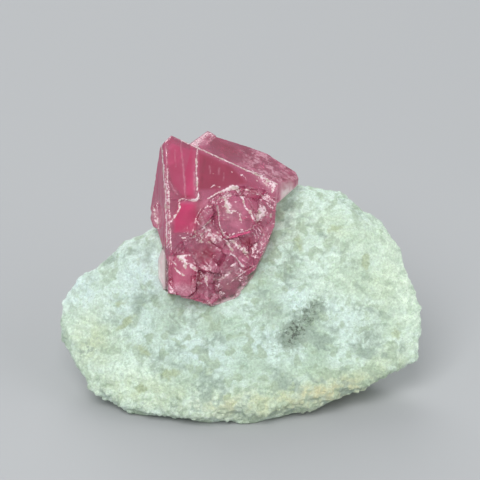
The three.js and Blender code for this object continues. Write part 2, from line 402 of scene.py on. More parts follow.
def seated(points, beside, gap):
    """How far each point is drawn onto the crystal, or towards it."""
    closed = np.interp(gap, [0, SEAT_WALL, SEAT_REACH], [-SEAT_GRIP, -SEAT_GRIP, SEAT_REACH])
    share = np.where(gap < SEAT_REACH, 1 - closed / np.maximum(gap, 0.01), 0)
    return (beside - points) * share[:, None]


def marble_mesh(points, triangles, crystal_tree):
    mesh = fine_mesh(points, triangles, MARBLE_VOXEL)
    points, normals = points_of(mesh), normals_of(mesh)
    beside, _, gap = nearest_on(crystal_tree, points)
    display = to_display(points)
    relief = stone_relief(points, display)
    free = smooth(gap, SEAT_WALL, 1.5) * smooth(points[:, 2], BASE_BAND, 1.0)
    moved = points + normals * (relief * free)[:, None] + seated(points, beside, gap)
    on_base = points[:, 2] < BASE_BAND
    moved[on_base, 2] = points[on_base, 2]
    set_points(mesh, moved)
    # The hollow mask is for painted shade: darker where the relief sinks.
    masks = {"hollow": smooth(relief, 0.1, -0.35) * free}
    for name, listed in STONE_PATCHES.items():
        masks[name] = on_display_side(display) * in_patches(display[:, :2], listed)
    add_masks(mesh, masks)
    return mesh


# The crystal, in its own frame

# Frosted strokes along steps, cracks, splinters and chips of the front, and painted highlights where
# light glints off the lower block: the points of each, with the half width there, and how white it is
STROKES = {
    "step": ([(-2.4, 12.0, 0.07), (-2.6, 11.0, 0.12), (-2.5, 8.7, 0.11), (-2.45, 6.4, 0.1)], 0.85),
    "corner": ([(-2.25, 6.1, 0.05), (-2.35, 5.2, 0.16), (-2.7, 4.95, 0.2), (-3.3, 4.95, 0.1)], 1.0),
    "window_foot": ([(-3.2, 4.95, 0.1), (-3.9, 5.0, 0.09), (-4.6, 5.1, 0.09), (-4.95, 4.8, 0.1)], 0.95),
    "panel_crack": ([(-4.95, 4.9, 0.09), (-4.9, 3.9, 0.12), (-5.3, 3.1, 0.14), (-6.0, 2.0, 0.1)], 0.8),
    "leaf": ([(-0.6, 6.7, 0.07), (0.0, 7.1, 0.13), (0.7, 6.6, 0.06)], 0.55),
    "band_left": ([(-7.4, 12.6, 0.07), (-7.1, 9.0, 0.09), (-6.85, 5.5, 0.09), (-6.6, -1.6, 0.08)], 0.85),
    "band_right": ([(-6.6, 8.3, 0.06), (-6.35, 5.0, 0.09), (-6.1, -1.6, 0.09)], 0.85),
    "band": ([(-7.1, 10.0, 0.1), (-6.8, 8.0, 0.28), (-6.6, 5.5, 0.36), (-6.4, -1.6, 0.32)], 0.44),
    "shard_top": ([(-1.0, 5.2, 0.06), (0.0, 5.8, 0.1), (1.4, 6.4, 0.17)], 0.95),
    "shard_peak": ([(1.4, 6.4, 0.17), (2.8, 6.9, 0.22), (3.5, 6.3, 0.12)], 0.95),
    "shard_corner": ([(2.2, 5.5, 0.08), (0.8, 5.3, 0.12), (0.3, 4.9, 0.12)], 0.85),
    "shard_left": ([(0.3, 4.9, 0.12), (0.45, 2.9, 0.1), (0.65, 1.3, 0.1), (1.2, 0.1, 0.14)], 0.85),
    "shard_patch": ([(1.5, 5.2, 0.18), (1.7, 4.2, 0.3), (1.9, 3.4, 0.32), (2.3, 3.3, 0.12)], 1.0),
    "shard_hook": ([(2.4, 3.5, 0.12), (3.5, 3.2, 0.15), (3.65, 1.8, 0.09)], 0.7),
    "shard_right": ([(3.4, 6.2, 0.2), (3.8, 5.3, 0.18), (4.2, 3.9, 0.1)], 0.9),
    "shard_end": ([(4.2, 3.9, 0.1), (4.9, 3.4, 0.16), (5.45, 2.1, 0.08)], 0.9),
    "shard_foot": ([(1.6, -0.2, 0.1), (2.8, 0.4, 0.12), (3.9, 0.5, 0.1)], 0.65),
    "shard_heel": ([(3.9, 0.5, 0.1), (5.2, 1.1, 0.12), (5.7, 1.8, 0.07)], 0.65),
    "right_patch": ([(6.5, 3.4, 0.55), (6.2, 2.8, 0.48), (5.8, 2.1, 0.2)], 1.0),
    "right_arm": ([(6.2, 3.85, 0.12), (7.2, 3.75, 0.1)], 0.9),
    "right_spot": ([(7.7, 3.1, 0.12), (7.75, 2.7, 0.14)], 0.9),
    "arc_top": ([(4.0, 6.5, 0.08), (5.3, 6.2, 0.08), (6.4, 5.5, 0.1)], 0.65),
    "arc_side": ([(6.4, 5.5, 0.1), (7.1, 4.7, 0.1), (8.0, 3.8, 0.07)], 0.65),
    "end_patch": ([(8.0, 7.2, 0.16), (8.1, 6.5, 0.24), (7.9, 6.0, 0.1)], 0.95),
    "end_band": ([(5.2, 9.0, 0.12), (6.4, 8.2, 0.45), (7.4, 7.4, 0.55), (8.2, 6.9, 0.3)], 0.6),
    "sliver_one": ([(-1.6, 1.3, 0.06), (-0.9, 1.8, 0.13), (-0.35, 2.15, 0.05)], 0.95),
    "sliver_two": ([(-1.4, 1.1, 0.13), (-0.5, 0.7, 0.06)], 0.95),
    "curl": ([(-2.1, 2.9, 0.06), (-1.9, 3.5, 0.07), (-1.2, 3.3, 0.07), (-0.6, 2.6, 0.05)], 0.5),
    "flake": ([(-1.2, 4.4, 0.1), (-0.6, 4.1, 0.22), (-0.1, 4.6, 0.1)], 0.6),
    "splinter_one": ([(1.3, -0.4, 0.08), (1.9, -1.2, 0.22), (2.4, -1.95, 0.14)], 1.0),
    "splinter_two": ([(2.2, -0.6, 0.14), (3.4, -1.4, 0.3), (4.4, -2.4, 0.27), (4.7, -3.2, 0.08)], 0.78),
    "splinter_three": ([(2.2, -2.4, 0.08), (3.1, -3.4, 0.16), (3.9, -4.2, 0.2)], 0.95),
    "pink_spot": ([(-4.9, 0.0, 0.2), (-4.2, -0.4, 0.26)], 0.55),
    # These four strokes are painted highlights: white glints of light off the lower block's broken faces.
    "painted_glint": ([(-5.1, -2.8, 0.18), (-4.5, -2.9, 0.42), (-4.2, -3.5, 0.3), (-3.9, -4.7, 0.06)], 0.95),
    "painted_glint_left": ([(-5.9, -3.4, 0.06), (-5.3, -4.0, 0.13)], 0.85),
    "painted_glint_low": ([(-5.6, -4.3, 0.08), (-5.0, -5.0, 0.18), (-4.3, -5.4, 0.08)], 0.9),
    "painted_glint_right": ([(-3.5, -3.8, 0.1), (-2.9, -4.4, 0.26), (-2.5, -4.9, 0.1)], 0.85),
    "low_chip": ([(-1.4, -5.4, 0.1), (-1.15, -6.1, 0.24), (-1.0, -6.9, 0.06)], 0.8),
    "low_line": ([(-1.9, -4.4, 0.07), (-1.0, -4.4, 0.08)], 0.55),
    "vein": ([(0.0, -6.3, 0.18), (1.2, -5.6, 0.26), (2.4, -4.9, 0.18)], 0.6),
    "skirt_line": ([(1.5, -6.8, 0.08), (2.7, -6.0, 0.09), (4.1, -5.0, 0.08), (5.7, -4.0, 0.07)], 0.65),
    "tip": ([(-1.9, -9.2, 0.16), (-0.8, -9.4, 0.26), (-0.2, -9.8, 0.16)], 0.6),
    "knob": ([(-8.6, 4.0, 0.18), (-8.2, 2.6, 0.3), (-7.8, 1.0, 0.12)], 0.55),
}

# Fainter lines, where the crystal is only milky
FAINT_LINES = {
    "beside_step": ([(-2.85, 8.8, 0.06), (-2.85, 6.4, 0.07)], 0.7),
    "window_side": ([(-6.3, 7.6, 0.07), (-5.7, 6.4, 0.07), (-5.0, 5.7, 0.06)], 0.75),
    "window_line": ([(-4.75, 12.8, 0.06), (-4.5, 10.7, 0.07), (-4.15, 7.0, 0.08), (-4.1, 5.3, 0.05)], 0.65),
    "window_hair": ([(-5.6, 12.0, 0.05), (-5.4, 9.5, 0.06)], 0.4),
    "streak_one": ([(-0.7, 9.7, 0.07), (-0.7, 8.6, 0.06)], 0.5),
    "streak_two": ([(0.5, 9.4, 0.1), (0.5, 8.6, 0.09)], 0.5),
    "streak_three": ([(1.2, 8.7, 0.07), (1.2, 7.6, 0.06)], 0.5),
}

# Zones of the front: middle, half length and half width, turn in degrees and strength. These are
# the crushed middle of the break and the smooth hollow below it.
HUB = ((-1.1, -0.1), (2.3, 1.15), -8, 1.0)
CALM_HOLLOW = ((-1.3, -2.6), (1.8, 1.3), 0, 0.85)

# The ends of the sharp top edge, between the front and the roof
FRONT_RIDGE = ((-4.0, 13.6), (8.0, 7.7))

# Faces of the front that glow, with their corners, clockwise, and how strongly
GLOW_FACES = {
    "window": ([(-6.3, 13.0), (-2.5, 11.9), (-2.8, 5.3), (-4.5, 5.2), (-6.2, 7.4), (-6.7, 10.2)], 0.6),
    "strip": ([(-3.5, 12.4), (-2.9, 12.4), (-2.7, 5.1), (-4.1, 5.1), (-4.5, 8.6)], 0.8),
    "panel": ([(-5.0, 4.7), (-2.4, 4.7), (-2.2, 2.4), (-2.5, 0.4), (-5.8, 0.4), (-5.7, 2.6)], 0.9),
    "block": ([(-6.7, -2.7), (-3.1, -2.7), (-2.2, -4.4), (-2.6, -7.0), (-6.7, -7.0)], 0.5),
}

# Faces and zones of the front with painted shade, where one looks into the dark inside, and zones
# where it is hazy
DEPTH_SHADE_FACES = {
    "beside_step": ([(-2.5, 12.0), (2.5, 9.7), (4.8, 7.2), (0.5, 6.3), (-2.5, 6.2)], 0.85),
}
DEPTH_SHADE_ZONES = [
    ((2.2, 8.0), (1.4, 1.0), -30, 0.8),
    ((-2.2, 2.8), (0.7, 2.2), 0, 0.8),
    ((-4.0, 5.45), (0.9, 0.22), 0, 1.0),
    ((-1.3, -2.6), (2.0, 1.5), 0, 1.0),
    ((4.5, -0.8), (1.0, 0.8), -20, 1.0),
    ((5.3, 5.9), (1.4, 0.7), -15, 0.8),
    ((-2.1, -6.0), (0.45, 1.6), 0, 1.0),
    ((10.6, 8.0), (1.4, 1.0), 0, 0.8),
    ((-1.1, -0.1), (2.0, 1.0), -8, 0.7),
    ((1.8, 12.3), (2.8, 1.3), -28, 0.8),
]
HAZE_ZONES = [
    ((-6.6, 3.0), (0.4, 6.0), 2, 0.7),
    ((7.2, 7.4), (2.3, 0.7), -38, 1.0),
    ((6.9, 3.1), (1.6, 1.3), 0, 0.7),
    ((2.4, 3.0), (2.0, 2.6), 0, 0.6),
    ((-0.9, 4.3), (1.5, 1.3), 0, 0.5),
    ((-0.6, 0.6), (2.6, 1.6), 0, 0.6),
    ((6.9, -0.6), (1.3, 3.2), -10, 0.8),
    ((1.5, -5.5), (2.2, 1.0), 28, 0.7),
    ((-1.0, -9.4), (1.8, 0.7), 0, 0.8),
    ((-4.8, -7.3), (2.1, 0.9), -8, 1.1),
    ((-8.0, 2.7), (1.1, 1.9), 0, 0.9),
    ((-4.5, -4.5), (2.0, 2.5), 0, 0.45),
]

# The growth step: places on its line, given by how far up and how far right they are, and how far
# the front drops beside it. Below the window's foot it drops further.
STEP_LINE = [(4.9, -2.45), (6.3, -2.6), (7.7, -2.7), (9.8, -2.6), (11.9, -2.4)]
STEP_HEIGHT = 0.1
WINDOW_FOOT = 4.95
PANEL_DROP = 0.16

# An edge is sharp where its faces turn by more than this, and is worn down by this much.
SHARP_BEND = math.radians(24)
EDGE_WEAR = 0.05

# The ellipsoids that the breaks lie on: middle, radii and turn in degrees
BREAKS = {
    "upper": ((4.9, 0.4, 3.2), (9.0, 8.8, 5.6), 20),
    "lower": ((0.2, -5.2, 3.0), (7.6, 7.2, 5.0), 0),
    "hollow": ((2.4, -7.0, 2.6), (5.6, 7.2, 5.6), 12),
    "ripple": ((9.0, -0.6, 2.6), (4.8, 5.6, 4.8), -15),
}

# The ripples of the breaks go round this place.
BREAK_HUB = np.array([1.2, -0.4])
RIPPLE_SPACING = 0.95
RIPPLE_HEIGHT = 0.035

# How far the breaks are sunk, and the heights of what lies on them
BREAK_DROP = 0.1
CRUMB_HEIGHT = 0.1
STROKE_HEIGHT = 0.05

# The crystal is clouded by the stone that it grew in up to this far from it.
FOOT_REACH = 1.2

# The arcs of the shell-like break to the right: their middle, first and last radius, the direction
# they face in degrees and how far they reach to either side of it
SHELL_MIDDLE = np.array([4.3, -0.7, -1.9])
SHELL_RADII = (1.2, 3.3)
SHELL_FACES = 10
SHELL_SPREAD = 52
SHELL_SPACING = 0.4

# The lower bound of the broken end's pale facet: places from left to right, and how far up it is
PALE_END = ((-2.24, -1.75, -0.48, 0.04), (12.5, 12.5, 13.1, 13.8))

# The ribs of the left side run nearly straight up it.
RIB_STRETCH = np.array([1, 0.13, 1])
RIB_HEIGHT = 0.025


def broken(local):
    """1 on the shell-like breaks of the front, 0 on grown and cleaved faces."""
    mask = np.zeros(len(local))
    for middle, radii, turn in BREAKS.values():
        away = rotated(local - np.array(middle), turn) / np.array(radii)
        off = np.abs(np.linalg.norm(away, axis=1) - 1) * min(radii)
        mask = np.maximum(mask, smooth(off, 0.4, 0.2))
    return mask


def along_segment(points, start, end):
    """How far each point is from a straight stretch, and where along it, from 0 to 1."""
    way = end - start
    share = np.clip((points - start) @ way / (way @ way), 0, 1)
    return np.linalg.norm(points - start - share[:, None] * way, axis=1), share


def in_stroke(points, stroke, widening):
    """1 in the middle of a stroke, a half at its half width and 0 at its full width."""
    value = np.zeros(len(points))
    for start, end in zip(np.array(stroke), np.array(stroke)[1:]):
        away, share = along_segment(points, start[:2], end[:2])
        width = (start[2] + (end[2] - start[2]) * share) * widening
        value = np.maximum(value, 1 - away / (2 * width))
    return value


def sharp_edges(points, triangles):
    """The pairs of points that end each sharp edge of a solid."""
    corners = points[triangles]
    faces = np.cross(corners[:, 1] - corners[:, 0], corners[:, 2] - corners[:, 0])
    faces /= np.maximum(np.linalg.norm(faces, axis=1), 1e-12)[:, None]
    beside = {}
    for face, (a, b, c) in enumerate(triangles):
        for pair in ((a, b), (b, c), (c, a)):
            beside.setdefault(tuple(sorted(pair)), []).append(face)
    return [
        points[list(pair)]
        for pair, sides in beside.items()
        if len(sides) == 2 and faces[sides[0]] @ faces[sides[1]] < math.cos(SHARP_BEND)
    ]


def off_edges(places, points, triangles):
    """How far each place is from the nearest sharp edge of a solid."""
    nearest = np.full(len(places), np.inf)
    for start, end in sharp_edges(points, triangles):
        nearest = np.minimum(nearest, along_segment(places, start, end)[0])
    return nearest


def in_zones(local, listed):
    """How strongly each point of the front lies in one of the zones."""
    return in_patches(local[:, :2], listed) * smooth(local[:, 2], -7.0, -5.0)


def on_faces(local, listed):
    """How strongly each point lies on one of the faces of the front."""
    on_each = [strength * in_face(local[:, :2], corners) for corners, strength in listed.values()]
    return np.max(on_each, axis=0)


def on_left_side(normals):
    return smooth(-normals[:, 0], 0.55, 0.8)


def crumbs(local):
    """How strongly each point lies in a loose white crumb, and the crumbs' heights."""
    _, owner, rim = grains(local, 0.42, 40)
    chosen = smooth(hashed(owner, 44), 0.25, 0.4) * (0.6 + 0.4 * hashed(owner, 45))
    return chosen * smooth(rim, 0.0, 0.08), facets(local, 0.42, 0.8, 40)


def front_drop(local, normals, fracture):
    """How far the flat front is sunk beside the growth step and below the window."""
    x, y, z = local.T
    front = smooth(normals[:, 2], 0.9, 0.98) * smooth(z, -2.6, -2.2) * (1 - fracture)
    beside_step = smooth(x - np.interp(y, *zip(*STEP_LINE)), -0.08, 0.08)
    below_window = smooth(WINDOW_FOOT - y, -0.08, 0.08)
    drop = STEP_HEIGHT * beside_step * (1 - below_window)
    return front * (drop + PANEL_DROP * below_window * smooth(y, -2.3, -1.9))


def break_relief(local):
    """Ripples round the middle of the breaks, and flat splinters over them."""
    radius = np.linalg.norm(local[:, :2] - BREAK_HUB, axis=1)
    ripple = np.sin(2 * math.pi * radius / RIPPLE_SPACING + 2.2 * lumps(local, 2.4, 5))
    hackle = facets(local, 2.3, 0.26, 7) + facets(local, 1.0, 0.14, 9)
    calm = in_zones(local, [CALM_HOLLOW])
    return RIPPLE_HEIGHT * ripple + hackle * (1 - calm) - BREAK_DROP


def crystal_relief(local, normals, fracture, strokes):
    """The front's step, the breaks' splinters, strokes and crumbs, and the left side's ribs."""
    relief = fracture * (break_relief(local) + STROKE_HEIGHT * strokes)
    relief += CRUMB_HEIGHT * in_zones(local, [HUB]) * crumbs(local)[1]
    ribs = lumps(local * RIB_STRETCH, 0.5, 15) + lumps(local * RIB_STRETCH, 1.2, 16)
    relief += RIB_HEIGHT * ribs * on_left_side(normals)
    return relief - front_drop(local, normals, fracture)


def drawn(local, strokes):
    """How strongly each point lies in one of the strokes, whose courses wander a little."""
    wander = np.stack([lumps(local, 0.7, 23), lumps(local, 0.7, 24)], axis=1) * 0.08
    wander += np.stack([lumps(local, 0.3, 33), lumps(local, 0.3, 34)], axis=1) * 0.04
    widening = 1 + 0.5 * lumps(local, 0.45, 25)
    total = np.zeros(len(local))
    for stroke, strength in strokes.values():
        value = in_stroke(local[:, :2] + wander, stroke, widening)
        total = np.maximum(total, strength * value)
    return total


def frost_and_glint_marks(local, normals, fracture, edge, strokes):
    """Where the crystal is crushed to crisp white marks, and where white glints of light are painted."""
    along_ridge, _ = along_segment(local[:, :2], *np.array(FRONT_RIDGE))
    crisp = smooth(along_ridge, 1.2, 0.6) * smooth(local[:, 2], -2.5, -1.5) * smooth(edge, 0.2, 0.06)
    hub = in_zones(local, [HUB]) * smooth(normals[:, 2], 0, 0.3)
    from_hub = np.linalg.norm(local[:, :2] - BREAK_HUB, axis=1)
    around = 0.2 + 0.5 * np.exp(-((from_hub / 4.0) ** 2))
    around *= 1 - in_zones(local, [CALM_HOLLOW])
    flecks = 0.5 + 0.35 * lumps(local, 0.5, 21) + 0.25 * lumps(local, 0.25, 22)
    flat = smooth(normals[:, 2], 0.9, 0.98) * (1 - fracture) * smooth(local[:, 0], -2.6, 1.0)
    scratches = lumps(rotated(local, -24) * np.array([0.35, 1, 1]), 0.26, 28)
    marks = [
        strokes,
        0.9 * crisp,
        0.72 * smooth(hub, 0.2, 0.55) * crumbs(local)[0],
        fracture * smooth(flecks, 0.62, 0.95) * around,
        0.5 * flat * smooth(scratches, 0.5, 0.8),
    ]
    return np.max(marks, axis=0)


def roof_haze(local, normals):
    """The speckled right part of the roof, and the pale facet of the broken end."""
    x, y, z = local.T
    roof = smooth(normals[:, 1], 0.5, 0.7) * smooth(z, -0.9, -1.3)
    speckle = 0.45 + 0.35 * lumps(local, 0.95, 35) + 0.3 * lumps(local, 0.4, 36)
    speckle += 0.2 * lumps(local, 0.2, 40)
    rough = smooth(x, 0.5, 7.5) * (1.15 - 0.45 * smooth(x, 8.2, 9.0))
    pale_end = smooth(y - np.interp(x, *PALE_END), -0.06, 0.06) * smooth(x, 0.15, 0.0)
    return roof * np.maximum(rough * smooth(speckle, 0.25, 0.75), pale_end * (0.05 + 0.6 * speckle))


def crystal_haze(local, normals, fracture, edge):
    """Where the crystal is softly whitened: its worn edges, its rough ends and round the breaks."""
    x, y, _ = local.T
    mottle = 0.5 + 0.35 * lumps(local, 0.6, 31) + 0.2 * lumps(local, 0.3, 32)
    front = smooth(normals[:, 2], 0.0, 0.3)
    right_end = smooth(x, 8.6, 9.4) * smooth(y, 5.5, 7.5)
    veils = [
        0.9 * smooth(edge, 0.3, 0.05) * mottle,
        roof_haze(local, normals),
        0.5 * fracture * smooth(mottle, 0.4, 0.9),
        front * in_zones(local, HAZE_ZONES) * (0.5 + 0.6 * mottle),
        front * drawn(local, FAINT_LINES),
        0.5 * right_end * smooth(mottle, 0.5, 0.95),
    ]
    return np.max(veils, axis=0)


def left_shade(local, normals):
    """Painted shade on the left side, in upright streaks."""
    y = local[:, 1]
    streaks = lumps(local * RIB_STRETCH, 0.4, 37) + lumps(local * RIB_STRETCH, 1.1, 38)
    depth = 0.75 + 0.2 * smooth(y, 10, 5) + 0.2 * streaks
    return on_left_side(normals) * smooth(y, -2.0, -0.5) * depth


def shell_arcs(local, fracture):
    """Where the break to the right has fine arcs, like those of a shell."""
    away = local[:, :2] - SHELL_MIDDLE[:2]
    radius = np.linalg.norm(away, axis=1)
    off = np.abs(np.degrees(np.arctan2(away[:, 1], away[:, 0])) - SHELL_FACES)
    first, last = SHELL_RADII
    ringed = smooth(radius, first - 0.1, first + 0.2) * smooth(radius, last + 0.2, last - 0.4)
    return fracture * ringed * smooth(off, SHELL_SPREAD + 10, SHELL_SPREAD - 10)


def pale_parts(local):
    """Where the crystal is thin, and the white stone behind it shows through."""
    x, y, z = local.T
    flank = smooth(x, -6.7, -7.1) * smooth(y, -1.0, -2.0) * smooth(z, -2.2, -2.7)
    mottle = lumps(local, 0.8, 39) + 0.6 * lumps(local, 0.35, 43)
    right_end = smooth(x, 8.6, 9.6) * smooth(y + 0.5 * mottle, 8.0, 6.0)
    return np.maximum(flank, right_end * (0.95 + 0.25 * mottle))


def smoky_skirt(local):
    """The thin grey margin at the crystal's foot."""
    _, y, z = local.T
    return smooth(y, -1.0, -4.0) * smooth(z, -2.2, -2.7)


def grown_over(local, gap):
    """Where the crystal is milky beside the stone, with a ragged margin."""
    ragged = gap + 0.3 * lumps(local, 0.8, 41) + 0.15 * lumps(local, 0.35, 42)
    return smooth(ragged, FOOT_REACH, 0) * (0.4 + 0.6 * smooth(local[:, 2], -9.0, -5.0))


def crystal_mesh(points, triangles, tree, marble_tree):
    mesh = fine_mesh(points, triangles, CRYSTAL_VOXEL)
    on_solid, normals, _ = nearest_on(tree, points_of(mesh))
    local = to_crystal(on_solid)
    turned = leaned(normals)
    edge = off_edges(on_solid, points, triangles)
    fracture = broken(local) * smooth(turned[:, 2], 0.0, 0.3)
    facing = smooth(turned[:, 2], -0.1, 0.3) * smooth(local[:, 2], -5.5, -4.5)
    strokes = drawn(local, STROKES) * facing
    relief = crystal_relief(local, turned, fracture, strokes)
    worn = EDGE_WEAR * smooth(edge, 0.16, 0.0) * (1 + lumps(local, 0.5, 3))
    set_points(mesh, on_solid + normals * (relief - worn)[:, None])
    masks = {
        # Frosted marks, with painted glints of light among them
        "frost_and_glint": frost_and_glint_marks(local, turned, fracture, edge, strokes),
        "haze": crystal_haze(local, turned, fracture, edge),
        "pale": pale_parts(local),
        "smoke": smoky_skirt(local),
        "grown": grown_over(local, nearest_on(marble_tree, on_solid)[2]),
        "fracture": fracture,
        "glow": on_faces(local, GLOW_FACES) * facing,
        "depth_shade": np.maximum(in_zones(local, DEPTH_SHADE_ZONES), on_faces(local, DEPTH_SHADE_FACES) * facing),
        "shade": left_shade(local, turned),
        "shell": shell_arcs(local, fracture),
    }
    add_masks(mesh, masks)
    return mesh


# Materials


class Paint:
    """A material's node tree, with its nodes made and joined by short calls."""

    def __init__(self, name):
        self.material = bpy.data.materials.new(name)
        self.material.use_nodes = True
        self.tree = self.material.node_tree
        self.shader = self.tree.nodes["Principled BSDF"]
        self.output = self.tree.nodes["Material Output"]
        coordinates = self.tree.nodes.new("ShaderNodeTexCoord")
        scale = self.tree.nodes.new("ShaderNodeVectorMath")
        scale.operation = "SCALE"
        scale.inputs["Scale"].default_value = 1 / MM
        self.tree.links.new(coordinates.outputs["Object"], scale.inputs[0])
        self.place = scale.outputs[0]

    def feed(self, socket, value):
        if isinstance(value, bpy.types.NodeSocket):
            self.tree.links.new(value, socket)
        else:
            socket.default_value = value

    def mask(self, name):
        node = self.tree.nodes.new("ShaderNodeAttribute")
        node.attribute_name = name
        return node.outputs["Fac"]

    def noise(self, size, detail=2.0, roughness=0.5, stretch=1.0, turn=0.0):
        """Noise from 0 to 1 with lumps of that size in millimetres, drawn out along one direction."""
        mapping = self.tree.nodes.new("ShaderNodeMapping")
        mapping.vector_type = "TEXTURE"
        self.feed(mapping.inputs["Vector"], self.place)
        mapping.inputs["Rotation"].default_value = (0, math.radians(turn), 0)
        mapping.inputs["Scale"].default_value = (stretch, 1, 1)
        node = self.tree.nodes.new("ShaderNodeTexNoise")
        self.feed(node.inputs["Vector"], mapping.outputs["Vector"])
        node.inputs["Scale"].default_value = 1 / size
        node.inputs["Detail"].default_value = detail
        node.inputs["Roughness"].default_value = roughness
        return node.outputs["Fac"]

    def cells(self, size):
        """Scattered cells of that size, each with a colour of its own."""
        node = self.tree.nodes.new("ShaderNodeTexVoronoi")
        self.feed(node.inputs["Vector"], self.place)
        node.inputs["Scale"].default_value = 1 / size
        return node.outputs["Color"]

    def rings(self, middle, spacing):
        """Lines round a point, from 0 between them to 1 on them."""
        node = self.tree.nodes.new("ShaderNodeVectorMath")
        node.operation = "DISTANCE"
        self.feed(node.inputs[0], self.place)
        node.inputs[1].default_value = middle
        wobble = self.ramp(self.noise(1.4), 0.3, 0.7, 0, 0.3)
        distance = self.math("ADD", node.outputs["Value"], wobble)
        turns = self.math("MULTIPLY", distance, 2 * math.pi / spacing)
        return self.ramp(self.math("SINE", turns), 0.3, 1.0)

    def math(self, operation, first, second=0.0):
        node = self.tree.nodes.new("ShaderNodeMath")
        node.operation = operation
        self.feed(node.inputs[0], first)
        self.feed(node.inputs[1], second)
        return node.outputs[0]

    def ramp(self, value, start, end, low=0.0, high=1.0):
        """A value's stretch from start to end, as a smooth change from low to high."""
        node = self.tree.nodes.new("ShaderNodeMapRange")
        node.interpolation_type = "SMOOTHSTEP"
        self.feed(node.inputs["Value"], value)
        for name, number in (("From Min", start), ("From Max", end), ("To Min", low), ("To Max", high)):
            node.inputs[name].default_value = number
        return node.outputs["Result"]

    def mix(self, factor, first, second, blend="MIX"):
        node = self.tree.nodes.new("ShaderNodeMix")
        node.data_type = "RGBA"
        node.blend_type = blend
        self.feed(node.inputs[0], factor)
        for socket, value in ((node.inputs[6], first), (node.inputs[7], second)):
            self.feed(socket, value if isinstance(value, bpy.types.NodeSocket) else (*value, 1))
        return node.outputs[2]

    def bump(self, height, depth):
        """Raises the shading by height from 0 to 1 times depth in millimetres."""
        node = self.tree.nodes.new("ShaderNodeBump")
        node.inputs["Distance"].default_value = depth * MM
        self.feed(node.inputs["Height"], height)
        self.feed(self.shader.inputs["Normal"], node.outputs["Normal"])

    def set(self, name, value):
        self.feed(self.shader.inputs[name], value)


# The marble's colours, and how it takes light
POWDER_WHITE = (0.62, 0.76, 0.68)
BLUE_POWDER = (0.66, 0.80, 0.78)
# The white of the painted light
PAINTED_LIGHT_WHITE = (0.77, 0.90, 0.76)
SOFT_GREEN = (0.44, 0.57, 0.44)
YELLOW_STONE = (0.56, 0.65, 0.44)
# The colour of the painted warm reflection at the lower rim
WARM_REFLECTION = (0.59, 0.55, 0.34)
CLEAR_GRAIN = (0.39, 0.49, 0.36)
OLIVE = (0.42, 0.50, 0.32)
GREY_GRAIN = (0.29, 0.36, 0.29)
DARK_GRAIN = (0.08, 0.095, 0.075)
# The grey of the painted shade in the stone's hollows
HOLLOW_SHADE_GREY = (0.34, 0.43, 0.36)
STONE_IOR = 1.5
LIGHT_SHARE = 0.4
LIGHT_REACH = 0.9
GRAIN_BUMP = 0.06


# Weaker where light is painted in
def less_where_painted_light(paint):
    return paint.ramp(paint.mask("painted_light"), 0.0, 0.8, 1.0, 0.5)


def white_stone(paint):
    """White stone with soft green clouds and streaks, its powdery patches, and patches of painted light."""
    broad = paint.ramp(paint.noise(6.0, detail=3), 0.42, 0.6, high=0.8)
    colour = paint.mix(broad, POWDER_WHITE, SOFT_GREEN)
    streaks = paint.noise(0.8, detail=4, roughness=0.65, stretch=2.6, turn=STREAK_TURN)
    colour = paint.mix(paint.ramp(streaks, 0.48, 0.64, high=0.85), colour, SOFT_GREEN)
    dusted = paint.ramp(paint.noise(1.1, detail=4, roughness=0.6), 0.35, 0.6, 0.35, 1.0)
    # The first of these whitens the stone as painted light; the second is its real blue powder.
    for name, powder in (("painted_light", PAINTED_LIGHT_WHITE), ("powder", BLUE_POWDER)):
        colour = paint.mix(paint.math("MULTIPLY", paint.mask(name), dusted), colour, powder)
    return colour


def stains_and_reflection(paint, colour):
    """The stone's yellow stains, painted warm reflection at its lower rim, clear windows and olive grains.
    """
    cloudy = paint.ramp(paint.noise(1.6, detail=3), 0.35, 0.6, 0.35, 0.9)
    for name, stain_and_reflection in (("yellow", YELLOW_STONE), ("warm_reflection", WARM_REFLECTION)):
        colour = paint.mix(paint.math("MULTIPLY", paint.mask(name), cloudy), colour, stain_and_reflection)
    window = paint.ramp(paint.noise(1.7, detail=1.5), 0.54, 0.63, high=0.75)
    colour = paint.mix(paint.math("MULTIPLY", window, less_where_painted_light(paint)), colour, CLEAR_GRAIN)
    ragged = paint.ramp(paint.noise(0.8, detail=2), 0.3, 0.7, -0.18, 0.18)
    olive = paint.math("ADD", paint.mask("olive"), ragged)
    return paint.mix(paint.ramp(olive, 0.3, 0.75, high=0.8), colour, OLIVE)


def pitted(paint, colour):
    """The stone with painted shade in its hollows, and with the grey and dark grains of its pits."""
    sunk = paint.math("MULTIPLY", paint.mask("hollow"), less_where_painted_light(paint))
    colour = paint.mix(paint.ramp(sunk, 0.2, 0.9, high=0.8), colour, HOLLOW_SHADE_GREY)
    speckle = paint.ramp(paint.noise(0.3, detail=4, roughness=0.75), 0.3, 0.7, -0.4, 0.4)
    speckle = paint.math("ADD", speckle, paint.ramp(paint.cells(0.4), 0.2, 0.8, -0.3, 0.3))
    greyed = paint.math("ADD", paint.mask("grey"), speckle)
    colour = paint.mix(paint.ramp(greyed, 0.3, 0.7, high=0.75), colour, GREY_GRAIN)
    return paint.mix(paint.ramp(greyed, 0.95, 1.3, high=0.85), colour, DARK_GRAIN)


